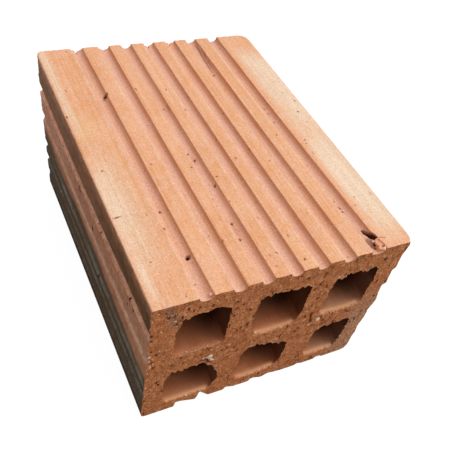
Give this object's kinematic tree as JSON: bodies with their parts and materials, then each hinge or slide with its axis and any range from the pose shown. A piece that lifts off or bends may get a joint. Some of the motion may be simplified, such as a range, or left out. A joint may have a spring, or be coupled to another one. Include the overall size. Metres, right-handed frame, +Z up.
{
  "type": "hollow clay brick",
  "caption": "Fired clay masonry brick, an extruded block with keying grooves on its long faces, rounded long edges and open rectangular cells through its length.",
  "frame": {"origin": "middle of the bed face that the brick lies on, level with the crests of that face", "axes": "+X across the width, +Y along the length and the cells, +Z up from the bed face"},
  "size_m": [0.135, 0.19, 0.099],
  "materials": {
    "fired_clay": "matt unglazed fired clay, drawn smooth on the long faces and torn by the wire on the cut ends, with bloom, scorch marks and grit"
  },
  "bodies": {
    "root": {"hollow_brick": "fired_clay"}
  },
  "joints": []
}
